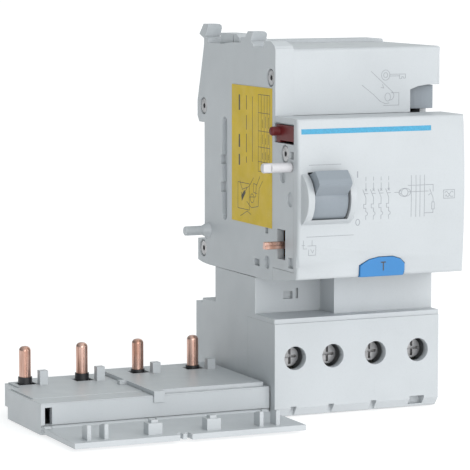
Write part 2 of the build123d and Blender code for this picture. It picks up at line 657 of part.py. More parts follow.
def arm_base():
    """Lower tray of the arm with the hinge line for the flap along its bottom front edge."""
    end_x = -ARM_LENGTH
    plan = [
        (end_x, ARM_FRONT),
        (end_x, ARM_END_BACK),
        (ARM_STEP_X[0], ARM_END_BACK),
        (ARM_STEP_X[0], ARM_STEP_BACK),
        (ARM_STEP_X[1], ARM_STEP_BACK),
        (ARM_STEP_X[1], ARM_BACK),
        (-ARM_GAP, ARM_BACK),
        (-ARM_GAP, ARM_FRONT),
    ]
    tray = plan_plate(plan, BASE, ARM_TOP)
    tray -= block(end_x, ARM_STEP_X[1] - 1.0, ARM_END_BACK, ARM_BACK, BASE - 1, ARM_STEP_BOTTOM)
    tray += block(-ARM_GAP - 0.2, 0.0, ARM_FRONT + 6, ARM_BACK - 3, BASE, ARM_TOP)
    inner = [
        (end_x + WALL, ARM_FRONT + WALL),
        (end_x + WALL, ARM_END_BACK - WALL),
        (ARM_STEP_X[0] + WALL, ARM_END_BACK - WALL),
        (ARM_STEP_X[0] + WALL, ARM_STEP_BACK - WALL),
        (ARM_STEP_X[1] + WALL, ARM_STEP_BACK - WALL),
        (ARM_STEP_X[1] + WALL, ARM_BACK - WALL),
        (-2.3, ARM_BACK - WALL),
        (-2.3, ARM_FRONT + WALL),
    ]
    tray -= plan_plate(inner, BASE + 1.6, ARM_TOP + 1)
    floor_front = ARM_END_BACK - WALL
    tray += block(*ARM_STEP_X, floor_front, ARM_STEP_BACK, ARM_STEP_BOTTOM, PIN_FOOT - 1.4)
    tray -= lane_opening(-3.0, 1.0)
    tray -= block(end_x + 1.2, end_x + 3.3, ARM_FRONT - 1, ARM_FRONT + WALL + 1, -38.7, -33.9)
    tray -= block(end_x - 1, 1.0, ARM_FRONT - 1, ARM_FRONT + 0.5, -39.4, -38.8)
    relief = rod_x(end_x - 1, 1.0, HINGE_Y, HINGE_Z, KNUCKLE_RADIUS + 0.25)
    tray -= relief
    tray -= block(end_x - 1, 1.0, HINGE_Y - 2, ARM_FRONT + 0.4, BASE - 1, HINGE_Z)
    for x0, x1 in ((end_x + 0.4, end_x + 2.4), (-38.4, -36.4), (-3.6, -1.8)):
        knuckle = rod_x(x0, x1, HINGE_Y, HINGE_Z, KNUCKLE_RADIUS)
        tray += knuckle + block(x0, x1, HINGE_Y, ARM_FRONT + 1.0, HINGE_Z - 1.0, HINGE_Z + 1.0)
    tray -= rod_x(end_x - 1, 1.0, HINGE_Y, HINGE_Z, HINGE_RADIUS + 0.03)
    return tray


def pin_xs():
    return [FIRST_PIN_X + PIN_PITCH * i for i in range(4)]


def pin_sockets(cover):
    """Square socket around each plug pin."""
    for x in pin_xs():
        right = x + SOCKET_HALF + SOCKET_EXTRA
        cover -= block(x - SOCKET_HALF, right, PIN_Y - SOCKET_HALF, PIN_Y + SOCKET_HALF, BASE, 0)
    return cover


def guide_post(pin_x, top_z):
    """Guide post on the cover, behind and to the right of a plug pin."""
    x = pin_x + POST_OFFSET
    return block(x, x + POST_SIDE, POST_BACK - POST_SIDE, POST_BACK, ARM_TOP, top_z)


def arm_cover():
    """Left cover plate of the arm, with two plug pin sockets."""
    plan = [
        (-ARM_LENGTH + COVER_INSET, ARM_FRONT + PLATE_STEP),
        (-ARM_LENGTH + COVER_INSET, ARM_END_BACK - COVER_INSET),
        (ARM_STEP_X[0] + COVER_INSET, ARM_END_BACK - COVER_INSET),
        (ARM_STEP_X[0] + COVER_INSET, ARM_STEP_BACK - COVER_INSET),
        (ARM_STEP_X[1] + COVER_INSET, ARM_STEP_BACK - COVER_INSET),
        (ARM_STEP_X[1] + COVER_INSET, ARM_BACK - COVER_INSET),
        (RAISED_LEFT - 0.1, ARM_BACK - COVER_INSET),
        (RAISED_LEFT - 0.1, ARM_FRONT + PLATE_STEP),
    ]
    cover = plan_plate(plan, ARM_TOP, COVER_TOP)
    front_plan = [
        (-ARM_LENGTH, ARM_FRONT),
        (-ARM_LENGTH, ARM_FRONT + PLATE_STEP),
        (RAISED_LEFT - 0.1, ARM_FRONT + PLATE_STEP),
        (RAISED_LEFT - 0.1, ARM_FRONT),
    ]
    cover += plan_plate(front_plan, ARM_TOP, ARM_TOP + 0.3)
    for x in pin_xs()[:2]:
        cover += guide_post(x, POST_TOP)
    return pin_sockets(cover)


def raised_cover():
    """Right cover plate of the arm, one step higher, with its folded tab over the front."""
    cover = block(RAISED_LEFT, -1.4, ARM_FRONT + 2.0, ARM_BACK - 0.6, ARM_TOP, RAISED_TOP)
    cover += block(RAISED_LEFT, -ARM_GAP - 0.1, ARM_FRONT, ARM_FRONT + 2.1, ARM_TOP, COVER_TOP)
    cover += block(RAISED_LEFT, -33.0, ARM_FRONT - 0.5, ARM_FRONT + 2.1, -34.7, RAISED_TOP)
    cover -= block(RAISED_LEFT - 1, -32.0, ARM_FRONT, ARM_FRONT + 5.0, -36.0, ARM_TOP)
    cover += block(-38.4, RAISED_LEFT + 0.2, 37.4, 39.4, COVER_TOP, RAISED_TOP)
    for x in pin_xs()[2:]:
        cover += guide_post(x, POST_TOP + 0.1)
    return pin_sockets(cover)


def terminal_flap():
    """Cover flap for the breaker's terminals, shown folded down in front of the arm."""
    left = -ARM_LENGTH + 0.2
    right = -1.0
    low = HINGE_Z - 0.9
    high = low + FLAP_THICKNESS
    flap = block(left, right, FLAP_FRONT, HINGE_Y - KNUCKLE_RADIUS - 0.15, low, high)
    flap -= block(-38.9, -35.4, FLAP_FRONT - 1, FLAP_FRONT + 3.0, low - 1, high + 1)
    flap += block(-37.6, -36.4, FLAP_FRONT + 1.2, FLAP_FRONT + 3.4, low, high)
    for x in SNAP_CLIP_X:
        flap += flap_clip(x, high)
    for x in POST_CLIP_X:
        flap += block(x - 2.1, x + 2.1, -5.6, -2.0, high - 0.2, high + 3.2)
        flap += block(x - 1.0, x + 1.0, -5.0, -2.6, high + 3.0, high + 4.0)
    for x0, x1 in ((left + 2.3, -38.6), (-36.1, -3.9)):
        flap += rod_x(x0, x1, HINGE_Y, HINGE_Z, KNUCKLE_RADIUS)
        flap += block(x0, x1, HINGE_Y - KNUCKLE_RADIUS - 0.5, HINGE_Y - 0.3, low, HINGE_Z + 0.7)
    flap -= rod_x(left - 1, right + 2, HINGE_Y, HINGE_Z, HINGE_RADIUS + FIT)
    return flap


def flap_clip(x, foot):
    """Snap leg on the flap with a small barb at its top."""
    low, high = x - CLIP_HALF, x + CLIP_HALF
    top = foot + 3.4
    tip = foot + 4.2
    leg = block(low, high, -6.4, -2.4, foot - LAP, top)
    return leg + side_plate([(-6.4, top), (-6.4, tip), (-5.0, tip), (-2.4, top)], low, high)


def flap_hinge_pin():
    return rod_x(-ARM_LENGTH + 0.6, -2.0, HINGE_Y, HINGE_Z, HINGE_RADIUS)


def plug_pin(x):
    """Copper plug pin with a rounded end and a groove along its front."""
    pin = rod_z(x, PIN_Y, SLEEVE_TOP, PIN_TOP, PIN_RADIUS)
    pin = fillet(pin.edges().sort_by(Axis.Z)[-1], 1.3)
    pin += rod_z(x, PIN_Y, PIN_FOOT, SLEEVE_TOP, PIN_SHANK_RADIUS)
    pin -= rod_z(x, PIN_Y - PIN_RADIUS - 0.12, SLEEVE_TOP - 0.1, PIN_TOP + 1, 0.3)
    pin -= rod_z(x, PIN_Y + PIN_RADIUS + 0.12, SLEEVE_TOP - 0.1, PIN_TOP + 1, 0.3)
    return pin


def pin_sleeve(x):
    """Black insulating sleeve around the foot of a plug pin."""
    sleeve = rod_z(x, PIN_Y, PIN_FOOT + 1.2, SLEEVE_TOP, SLEEVE_RADIUS)
    return sleeve - rod_z(x, PIN_Y, PIN_FOOT, SLEEVE_TOP + 1, PIN_SHANK_RADIUS)


def conductor(index):
    """One pole's copper strip: arm, riser, over and down through the toroid core, to its terminal."""
    pin_x = pin_xs()[index]
    lane = LANE_Y[index]
    level = TOP_LEVELS[index]
    drop_x = CORE_CENTRE[0] + DROP_PITCH * (index - 1.5)
    drop_y = CORE_CENTRE[1]
    half = STRIP / 2
    low = PIN_FOOT - STRIP
    bar = block(pin_x - 1.2, RISER_X + half, lane - half, lane + half, low, PIN_FOOT)
    bar += block(pin_x - 1.2, pin_x + 1.2, lane - half, PIN_Y + 1.2, low, PIN_FOOT)
    bar += block(RISER_X - half, RISER_X + half, lane - half, lane + half, low, level)
    bar += strip_between((RISER_X, lane), (drop_x, drop_y), STRIP, level - STRIP, level)
    bar += block(drop_x - half, drop_x + half, drop_y - half, drop_y + half, STRIP_DROP_Z[0], level)
    x = TERMINAL_X[index]
    wide, front, back, foot = TONGUE
    bar += strip_between((drop_x, drop_y), (x, back), STRIP, *STRIP_DROP_Z)
    bar += block(x - half, x + half, front, TONGUE_LAP, *STRIP_DROP_Z)
    return bar + block(x - wide, x + wide, front, back, foot, STRIP_DROP_Z[1])


def terminal_screw(x):
    """Captive clamp screw with a cross slot, on the access hole's axis."""
    screw = rod_y(x, HEAD_Y[0], HEAD_Y[1], TERMINAL_Z, HEAD_RADIUS)
    screw += rod_y(x, HEAD_Y[1] - 0.1, SHANK_END, TERMINAL_Z, SHANK_RADIUS)
    slot_length = HEAD_RADIUS - 0.6
    screw -= block(x - slot_length, x + slot_length, 18.0, 19.6, TERMINAL_Z - 0.4, TERMINAL_Z + 0.4)
    screw -= block(x - 0.4, x + 0.4, 18.0, 19.6, TERMINAL_Z - slot_length, TERMINAL_Z + slot_length)
    return screw


def terminal_cage(x):
    """Lift cage: the wire goes in from below, between the strip and the cage's back wall."""
    low, high = TERMINAL_Z - CAGE_HALF_HEIGHT, TERMINAL_Z + CAGE_HALF_HEIGHT
    cage = block(x - CAGE_HALF_WIDTH, x + CAGE_HALF_WIDTH, CAGE_Y[0], CAGE_Y[1], low, high)
    inner = CAGE_HALF_WIDTH - CAGE_WALL
    cage -= block(x - inner, x + inner, CAGE_Y[0] + CAGE_WALL, CAGE_Y[1] - CAGE_WALL, low - 1, high + 1)
    cage -= rod_y(x, CAGE_Y[0] - 1, CAGE_Y[0] + 2, TERMINAL_Z, SHANK_RADIUS + FIT)
    return cage


def toggle():
    """Rocker drum with the ridge grip, turned fully up."""
    outline = [
        (-5.0, 30.9),
        (-7.3, 28.6),
        (-8.0, 27.4),
        (-7.5, 26.6),
        (-5.0, 24.0),
        (TOGGLE_Y, TOGGLE_Z),
        (-0.8, 28.8),
        (-1.6, 29.6),
    ]
    grip = side_plate(outline, TOGGLE_X[0], TOGGLE_X[1])
    grip = fillet(grip.faces().sort_by(Axis.X)[-1].edges(), 0.35)
    drum = rod_x(TOGGLE_X[0], TOGGLE_X[1], TOGGLE_Y, TOGGLE_Z, DRUM_RADIUS)
    body = grip + drum
    body -= rod_x(SPRING_X, 20, TOGGLE_Y, TOGGLE_Z, 2.7)
    return body - rod_x(0, 20, TOGGLE_Y, TOGGLE_Z, SHAFT_RADIUS + FIT)


def toggle_spring():
    """Torsion spring on the shaft, in the drum's right end."""
    spring = coil(2.0, 0.3, 3.2, 5)
    return Pos(SPRING_X + 0.1, TOGGLE_Y, TOGGLE_Z) * Rot(0, 90, 0) * spring


def coupling_pin():
    """Pin that turns the breaker's trip shaft: flatted end outside, thinner shank through the wall."""
    pin = rod_x(-COUPLING_LENGTH, -COUPLING_GAP, COUPLING_Y, COUPLING_Z, COUPLING_RADIUS)
    pin = fillet(pin.edges().sort_by(Axis.X)[0], 0.5)
    flat_y = COUPLING_Y - 0.9
    front = COUPLING_Y - 3
    pin -= block(-COUPLING_LENGTH - 1, -6.4, front, flat_y, COUPLING_Z - 3, COUPLING_Z + 3)
    return pin + rod_x(-COUPLING_GAP, CRANK_X[1], COUPLING_Y, COUPLING_Z, COUPLING_SHANK_RADIUS)


def coupling_crank():
    """Crank on the coupling pin's inner end. The link to it from the toggle isn't modelled."""
    low, high = COUPLING_Y - CRANK_HALF_WIDTH, COUPLING_Y + CRANK_HALF_WIDTH
    crank = block(CRANK_X[0], CRANK_X[1], low, high, COUPLING_Z, COUPLING_Z + CRANK_REACH)
    crank += rod_x(CRANK_X[0], CRANK_X[1], COUPLING_Y, COUPLING_Z, CRANK_HUB_RADIUS)
    return crank - rod_x(CRANK_X[0] - 1, CRANK_X[1] + 1, COUPLING_Y, COUPLING_Z, COUPLING_SHANK_RADIUS)


def locating_pin():
    """Fixed pin with a flared foot that locates the block against the breaker."""
    foot = Pos(-1.1, LOCATING_Y, LOCATING_Z) * Rot(0, -90, 0) * Cone(2.4, LOCATING_RADIUS, 2.2)
    shank = rod_x(-7.8, 2.0, LOCATING_Y, LOCATING_Z, LOCATING_RADIUS)
    shank = fillet(shank.edges().sort_by(Axis.X)[0], 0.4)
    return foot + shank


def interlock_lever():
    """Red lever in the left side: it swings about the pin at its front end."""
    low, high = LEVER_Z
    plan = [
        (0.1, 2.3),
        (3.0, 2.3),
        (3.0, 4.8),
        (2.1, 6.4),
        (2.1, 13.6),
        (0.1, 13.6),
    ]
    lever = plan_plate(plan, low, high)
    lever += block(0.1, 2.1, 11.2, 13.6, 37.9, low + 0.2)
    peg = rod_x(-2.6, 1.0, 12.2, 41.0, 1.3)
    lever += fillet(peg.edges().sort_by(Axis.X)[0], 0.8)
    return lever - rod_z(LEVER_PIVOT[0], LEVER_PIVOT[1], 30, 50, LEVER_PIN_RADIUS + FIT)


def lever_pin():
    return rod_z(LEVER_PIVOT[0], LEVER_PIVOT[1], 37.15, 44.15, LEVER_PIN_RADIUS)


def test_button():
    button = front_plate(button_outline(0.0), -0.75, 6.6)
    button = fillet(button.faces().sort_by(Axis.Y)[0].edges(), 0.3)
    return button + block(*BUTTON_FLANGE)


def test_spring():
    return Pos(26.6, 6.65, 3.4) * Rot(-90, 0, 0) * coil(1.3, 0.2, 3.4, 4)


def spring_post():
    """Post behind the test button that its spring pushes against."""
    return block(*SPRING_POST)


def test_contact():
    """Copper contact blade of the test circuit, through the slot in the left side."""
    return block(*CONTACT_BLADE) + block(*CONTACT_RIB) + block(*CONTACT_FOOT)


def release_button():
    """Grey push button in the shoulder's notch, rounded in front."""
    plan = [
        (RELEASE_X[0], RELEASE_Y + 0.9),
        (RELEASE_X[0] + 2.6, RELEASE_Y + 0.2),
        (RELEASE_X[0] + 4.8, RELEASE_Y),
        (RELEASE_X[1], RELEASE_Y),
        (RELEASE_X[1], RELEASE_Y + 2.2),
        (RELEASE_X[0], RELEASE_Y + 2.2),
    ]
    return plan_plate(plan, RELEASE_Z[0], RELEASE_Z[1])


def release_stop():
    """Stop inside the right shell behind the release button's spring."""
    return block(*RELEASE_STOP)


def release_spring():
    return Pos(47.6, RELEASE_Y + 2.25, 49.2) * Rot(-90, 0, 0) * coil(1.6, 0.25, 3.2, 3)


def rivets():
    """Tubular rivets through both shells, with a short pair beside the rail clip."""
    group = []
    for y, z in RIVETS:
        rivet = rod_x(0.5, BODY_WIDTH - 0.5, y, z, RIVET_RADIUS)
        if (y, z) == RIVETS[-1]:
            rivet -= rod_x(BLIND_LENGTH, BODY_WIDTH - BLIND_LENGTH, y, z, RIVET_RADIUS + 1)
        rivet += rod_x(0.25, RECESS_DEPTH, y, z, RIVET_HEAD)
        rivet += rod_x(BODY_WIDTH - RECESS_DEPTH, BODY_WIDTH - 0.25, y, z, RIVET_HEAD)
        rivet -= rod_x(-1, 1.6, y, z, 0.75)
        rivet -= rod_x(BODY_WIDTH - 1.6, BODY_WIDTH + 1, y, z, 0.75)
        group.append(rivet)
    return Compound(group)


def toroid_core():
    bore, outside = CORE_RADII
    core = rod_z(*CORE_CENTRE, *CORE_Z, outside)
    return core - rod_z(*CORE_CENTRE, CORE_Z[0] - 1, CORE_Z[1] + 1, bore)


def secondary_winding():
    """Turns of wire around the core, each a closed rectangular loop."""
    x, y = CORE_CENTRE
    loops = []
    for i in range(WINDING_TURNS):
        loop = block(*WINDING_OUTSIDE) - block(*WINDING_INSIDE)
        loops.append(Pos(x, y, 0) * Rot(0, 0, 360 * i / WINDING_TURNS) * loop)
    return Compound(loops)


def core_cradle():
    """Ledge inside the left shell that carries the core."""
    return block(*CORE_LEDGE)


def trip_relay():
    """Sealed trip relay with a bore for its plunger."""
    return block(*RELAY_CASE) - rod_z(*PLUNGER_AT, *PLUNGER_BORE_Z, PLUNGER_RADIUS + FIT)


def relay_shelf():
    """Shelf inside the right shell under the trip relay."""
    return block(*RELAY_SHELF)


def relay_plunger():
    return rod_z(*PLUNGER_AT, *PLUNGER_Z, PLUNGER_RADIUS)


def latch_lever():
    """Latch that the plunger tips to drop the toggle."""
    hub_front, hub_back, hub_radius = LATCH_HUB
    hub = rod_y(LATCH_X, hub_front, hub_back, LATCH_Z, hub_radius)
    bore = rod_y(LATCH_X, hub_front - 1, hub_back + 1, LATCH_Z, LATCH_PIN_RADIUS + FIT)
    return block(*LATCH_ARM) + hub + block(*LATCH_CATCH) - bore


def latch_pin():
    return rod_y(LATCH_X, *LATCH_PIN_Y, LATCH_Z, LATCH_PIN_RADIUS)


def latch_rib():
    """Rib inside the left shell that carries the latch pin."""
    bore = rod_y(LATCH_X, LATCH_RIB[2] - 1, LATCH_RIB[3] + 1, LATCH_Z, LATCH_PIN_RADIUS)
    return block(*LATCH_RIB) - bore


def circuit_board():
    return block(*BOARD) + block(*BOARD_CHIP) + block(*BOARD_SOCKET)


def board_rails():
    """Two grooved rails inside the right shell that hold the circuit board."""
    high = block(*TOP_RAIL) - block(*TOP_GROOVE)
    low = block(*LOW_RAIL) - block(*LOW_GROOVE)
    return high + low


def test_resistor():
    return rod_z(*RESISTOR_AT, *RESISTOR_BODY) + rod_z(*RESISTOR_AT, *RESISTOR_LEAD)


def din_clip():
    """Rail clip: nose behind the rail's lower lip, finger tab at the bottom."""
    clip = block(CLIP_X[0], CLIP_X[1], CLIP_Y[0], CLIP_Y[1], CLIP_Z[0], CLIP_Z[1])
    nose_front = BODY_BACK + RAIL_LIP_GAP
    clip += block(CLIP_X[0], CLIP_X[1], nose_front, CLIP_Y[0] + 0.1, RAIL_LOW + 0.2, CLIP_Z[1])
    bevel = [
        (nose_front - 1, CLIP_Z[1] + 0.1),
        (nose_front - 1, CLIP_Z[1] - 1.2),
        (CLIP_Y[1] - 1.2, CLIP_Z[1] + 0.1),
    ]
    clip -= side_plate(bevel, CLIP_X[0] - 1, CLIP_X[1] + 1)
    clip += block(CLIP_X[0], CLIP_X[1], CLIP_Y[1] - 0.1, CLIP_Y[1] + 1.6, CLIP_Z[0], CLIP_Z[0] + 1.6)
    return clip - block(*CLIP_HOLE) + block(*CLIP_FOOT)


def clip_spring():
    return Pos(SPLIT_X, BLOCK_BACK - 2.6, -30.9) * coil(1.7, 0.25, 11.4, 8)


def rating_label():
    return block(-LABEL_THICKNESS, 0.0, LABEL_Y[0], LABEL_Y[1], LABEL_Z[0], LABEL_Z[1])


def build_all():
    """Every sub-part by node name."""
    parts = {
        "left_shell": left_shell() + core_cradle() + latch_rib(),
        "right_shell": right_shell() + relay_shelf() + board_rails() + release_stop(),
        "front_cover": front_cover() + spring_post(),
        "shoulder_cover": shoulder_cover(),
        "terminal_front": terminal_front(),
        "terminal_rear": terminal_rear(),
        "arm_base": arm_base(),
        "arm_cover": arm_cover(),
        "raised_cover": raised_cover(),
        "terminal_flap": terminal_flap(),
        "flap_hinge_pin": flap_hinge_pin(),
        "toggle": toggle(),
        "toggle_shaft": rod_x(1.5, 15.9, TOGGLE_Y, TOGGLE_Z, SHAFT_RADIUS),
        "toggle_spring": toggle_spring(),
        "coupling_pin": coupling_pin(),
        "coupling_crank": coupling_crank(),
        "locating_pin": locating_pin(),
        "interlock_lever": interlock_lever(),
        "lever_pin": lever_pin(),
        "test_button": test_button(),
        "test_spring": test_spring(),
        "test_contact": test_contact(),
        "test_resistor": test_resistor(),
        "release_button": release_button(),
        "release_spring": release_spring(),
        "rivets": rivets(),
        "toroid_core": toroid_core(),
        "secondary_winding": secondary_winding(),
        "trip_relay": trip_relay(),
        "relay_plunger": relay_plunger(),
        "latch_lever": latch_lever(),
        "latch_pin": latch_pin(),
        "circuit_board": circuit_board(),
        "din_clip": din_clip(),
        "clip_spring": clip_spring(),
        "rating_label": rating_label(),
    }
    for i in range(4):
        number = i + 1
        parts[f"conductor_{number}"] = conductor(i)
        parts[f"plug_pin_{number}"] = plug_pin(pin_xs()[i])
        parts[f"pin_sleeve_{number}"] = pin_sleeve(pin_xs()[i])
        parts[f"terminal_screw_{number}"] = terminal_screw(TERMINAL_X[i])
        parts[f"terminal_cage_{number}"] = terminal_cage(TERMINAL_X[i])
    return parts


def frame_shift():
    """From the working coordinates to the part's frame: bottom centre of the whole block."""
    x = -(BODY_WIDTH - ARM_LENGTH) / 2
    y = -(FIN_BACK + FLAP_FRONT) / 2
    return Pos(x, y, -BASE)


def export_all():
    os.makedirs("parts", exist_ok=True)
    for name, shape in build_all().items():
        export_step(frame_shift() * shape, f"parts/{name}.step")


export_all()
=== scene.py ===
"""Looks of the residual current block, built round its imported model. Metres, in the part's frame."""

import json
import math

import bmesh
import bpy
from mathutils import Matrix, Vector
from mathutils.bvhtree import BVHTree


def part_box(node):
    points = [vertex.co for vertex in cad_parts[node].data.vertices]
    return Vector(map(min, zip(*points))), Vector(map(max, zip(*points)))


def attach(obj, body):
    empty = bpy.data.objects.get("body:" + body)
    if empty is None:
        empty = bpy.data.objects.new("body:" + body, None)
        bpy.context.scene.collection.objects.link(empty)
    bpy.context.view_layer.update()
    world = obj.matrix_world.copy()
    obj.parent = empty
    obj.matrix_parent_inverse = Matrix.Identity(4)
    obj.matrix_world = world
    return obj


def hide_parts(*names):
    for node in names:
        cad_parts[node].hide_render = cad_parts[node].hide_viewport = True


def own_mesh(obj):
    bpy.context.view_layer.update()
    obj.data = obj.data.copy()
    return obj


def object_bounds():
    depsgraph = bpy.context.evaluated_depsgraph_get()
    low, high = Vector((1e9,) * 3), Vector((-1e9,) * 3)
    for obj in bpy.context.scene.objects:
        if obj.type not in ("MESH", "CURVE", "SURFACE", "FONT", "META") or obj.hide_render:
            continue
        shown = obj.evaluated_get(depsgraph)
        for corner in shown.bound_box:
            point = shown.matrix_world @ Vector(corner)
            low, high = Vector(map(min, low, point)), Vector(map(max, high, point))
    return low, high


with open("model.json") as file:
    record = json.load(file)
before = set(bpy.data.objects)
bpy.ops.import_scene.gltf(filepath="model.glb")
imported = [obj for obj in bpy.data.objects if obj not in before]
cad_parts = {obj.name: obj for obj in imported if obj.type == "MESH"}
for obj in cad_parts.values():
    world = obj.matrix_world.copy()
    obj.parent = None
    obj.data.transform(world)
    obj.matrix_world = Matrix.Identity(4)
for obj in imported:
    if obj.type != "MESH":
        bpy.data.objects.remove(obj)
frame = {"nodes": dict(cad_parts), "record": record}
nodes = frame["nodes"]
cad_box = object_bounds()

MM = 0.001

# Marks are placed in millimetres from the lower left corner of the nose: across to the right (or back,
# on the left side), and up.
NOSE_HEIGHT = 45 * MM
LABEL_FRONT = 16.3 * MM
nose_low, nose_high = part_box("front_cover")
CORNER = Vector((nose_low.x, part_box("rating_label")[0].y - LABEL_FRONT, nose_high.z - NOSE_HEIGHT))

# A print is laid on its face by rays that start FAR outside CORNER. Its ink stands INK_HEIGHT proud and
# reaches INK_DEPTH into the face. A line has a point at least every LINE_STEP millimetres.
FAR = 60 * MM
INK_HEIGHT = 0.02 * MM
INK_DEPTH = 0.02 * MM
LINE_STEP = 2.0


# ---------------------------------------------------------------- materials

# A Mix node has several sockets with one name, so its colour sockets are taken by number.
MIX_FIRST = 6
MIX_SECOND = 7
MIX_RESULT = 2

# Most of a noise lies between these two values.
NOISE_LOW = 0.3
NOISE_HIGH = 0.7
WHITE = (1, 1, 1)
# Samples of the ambient occlusion behind the painted shade in corners.
CREVICE_SHADE_SAMPLES = 8


class Finish:
    """A node material, with short helpers for noise, tints, roughness and bump. Sizes are in metres."""

    def __init__(self, name, metallic=0.0, coat=0.0):
        self.material = bpy.data.materials.new(name)
        self.material.use_nodes = True
        self.tree = self.material.node_tree
        self.shader = self.tree.nodes["Principled BSDF"]
        self.shader.inputs["Metallic"].default_value = metallic
        self.shader.inputs["Coat Weight"].default_value = coat
        self.place = self.tree.nodes.new("ShaderNodeTexCoord").outputs["Object"]

    def link(self, start, end):
        self.tree.links.new(start, end)

    def noise(self, size, detail=3.0, stretch=(1, 1, 1)):
        """Noise with features about size across, pulled longer along an axis by stretch."""
        mapping = self.tree.nodes.new("ShaderNodeMapping")
        mapping.inputs["Scale"].default_value = [1 / (size * s) for s in stretch]
        texture = self.tree.nodes.new("ShaderNodeTexNoise")
        texture.inputs["Scale"].default_value = 1.0
        texture.inputs["Detail"].default_value = detail
        self.link(self.place, mapping.inputs["Vector"])
        self.link(mapping.outputs["Vector"], texture.inputs["Vector"])
        return texture.outputs["Fac"]

    def spread(self, value, low, high):
        """Stretches the middle of a noise to the range from low to high."""
        node = self.tree.nodes.new("ShaderNodeMapRange")
        node.inputs["From Min"].default_value = NOISE_LOW
        node.inputs["From Max"].default_value = NOISE_HIGH
        node.inputs["To Min"].default_value = low
        node.inputs["To Max"].default_value = high
        self.link(value, node.inputs["Value"])
        return node.outputs["Result"]

    def ramp(self, value, stops):
        """Colours by value: stops are (position, colour)."""
        node = self.tree.nodes.new("ShaderNodeValToRGB")
        band = node.color_ramp
        while len(band.elements) < len(stops):
            band.elements.new(0.5)
        for element, (position, colour) in zip(band.elements, stops):
            element.position = position
            element.color = (*colour, 1)
        self.link(value, node.inputs["Fac"])
        return node.outputs["Color"]

    def multiply(self, colour, other):
        node = self.tree.nodes.new("ShaderNodeMix")
        node.data_type = "RGBA"
        node.blend_type = "MULTIPLY"
        node.inputs["Factor"].default_value = 1.0
        self.link(colour, node.inputs[MIX_FIRST])
        self.link(other, node.inputs[MIX_SECOND])
        return node.outputs[MIX_RESULT]

    def painted_crevice_shade(self, reach, shade_colour):
        """Painted shade: a tint that darkens corners closer than reach, by ambient occlusion."""
        node = self.tree.nodes.new("ShaderNodeAmbientOcclusion")
        node.samples = CREVICE_SHADE_SAMPLES
        node.inputs["Distance"].default_value = reach
        return self.ramp(node.outputs["AO"], [(0.15, shade_colour), (0.75, WHITE)])

    def paint(self, colour):
        self.link(colour, self.shader.inputs["Base Color"])

    def rough(self, value):
        self.link(value, self.shader.inputs["Roughness"])

    def bump(self, value, height, strength):
        node = self.tree.nodes.new("ShaderNodeBump")
        node.inputs["Distance"].default_value = height
        node.inputs["Strength"].default_value = strength
        self.link(value, node.inputs["Height"])
        self.link(node.outputs["Normal"], self.shader.inputs["Normal"])


def scaled(colour, factor):
    return tuple(min(1.0, c * factor) for c in colour)


def plastic(name, colour, rough=(0.38, 0.5), drift=0.03):
    """Moulded plastic: spark-eroded grain, slow drift in tone, and painted shade darkening the corners."""
    finish = Finish(name)
    tone = finish.noise(size=18 * MM, detail=4)
    tones = [(NOISE_LOW, scaled(colour, 1 - drift)), (NOISE_HIGH, scaled(colour, 1 + drift))]
    body = finish.ramp(tone, tones)
    fleck = finish.noise(size=0.5 * MM, detail=2)
    body = finish.multiply(body, finish.ramp(fleck, [(0.25, (0.97, 0.97, 0.97)), (0.5, WHITE)]))
    # Corners darken to a warm grey by ambient occlusion: painted shade.
    body = finish.multiply(body, finish.painted_crevice_shade(reach=0.9 * MM, shade_colour=(0.78, 0.77, 0.75)))
    finish.paint(body)
    finish.rough(finish.spread(finish.noise(size=5 * MM, detail=5), *rough))
    finish.bump(finish.noise(size=0.16 * MM, detail=4), height=0.006 * MM, strength=0.6)
    return finish.material


def metal(name, colour, dull, rough=(0.22, 0.4), stretch=(1, 1, 1), coat=0.0):
    """Bare metal: drawing marks along stretch, a duller tarnish in soft clouds, and painted shade in the
    corners.
    """
    finish = Finish(name, metallic=1.0, coat=coat)
    cloud = finish.noise(size=2.2 * MM, detail=5, stretch=stretch)
    body = finish.ramp(cloud, [(0.38, dull), (0.6, colour)])
    # Corners darken to a warm brown by ambient occlusion: painted shade.
    finish.paint(finish.multiply(body, finish.painted_crevice_shade(reach=0.5 * MM, shade_colour=(0.6, 0.55, 0.5))))
    marks = finish.noise(size=0.12 * MM, detail=3, stretch=stretch)
    finish.rough(finish.spread(finish.noise(size=0.8 * MM, detail=4, stretch=stretch), *rough))
    finish.bump(marks, height=0.004 * MM, strength=0.5)
    return finish.material


def paper(name, colour):
    """Printed label film: fibre mottling and a soft sheen."""
    finish = Finish(name)
    mottle = finish.noise(size=7 * MM, detail=5)
    body = finish.ramp(mottle, [(NOISE_LOW, scaled(colour, 0.93)), (NOISE_HIGH, scaled(colour, 1.06))])
    fibres = finish.noise(size=0.25 * MM, detail=4, stretch=(1, 1, 3))
    finish.paint(finish.multiply(body, finish.ramp(fibres, [(0.3, (0.94, 0.93, 0.9)), (0.6, WHITE)])))
    finish.rough(finish.spread(finish.noise(size=3 * MM), low=0.42, high=0.6))
    finish.bump(fibres, height=0.006 * MM, strength=0.5)
    return finish.material


def ink(name, colour):
    """Pad-printed ink, a little uneven where it lies thin."""
    finish = Finish(name)
    thin = finish.noise(size=0.4 * MM, detail=4)
    finish.paint(finish.ramp(thin, [(0.3, scaled(colour, 0.9)), (0.75, scaled(colour, 1.2))]))
    finish.rough(finish.spread(finish.noise(size=1.5 * MM), low=0.35, high=0.5))
    finish.bump(thin, height=0.003 * MM, strength=0.4)
    return finish.material


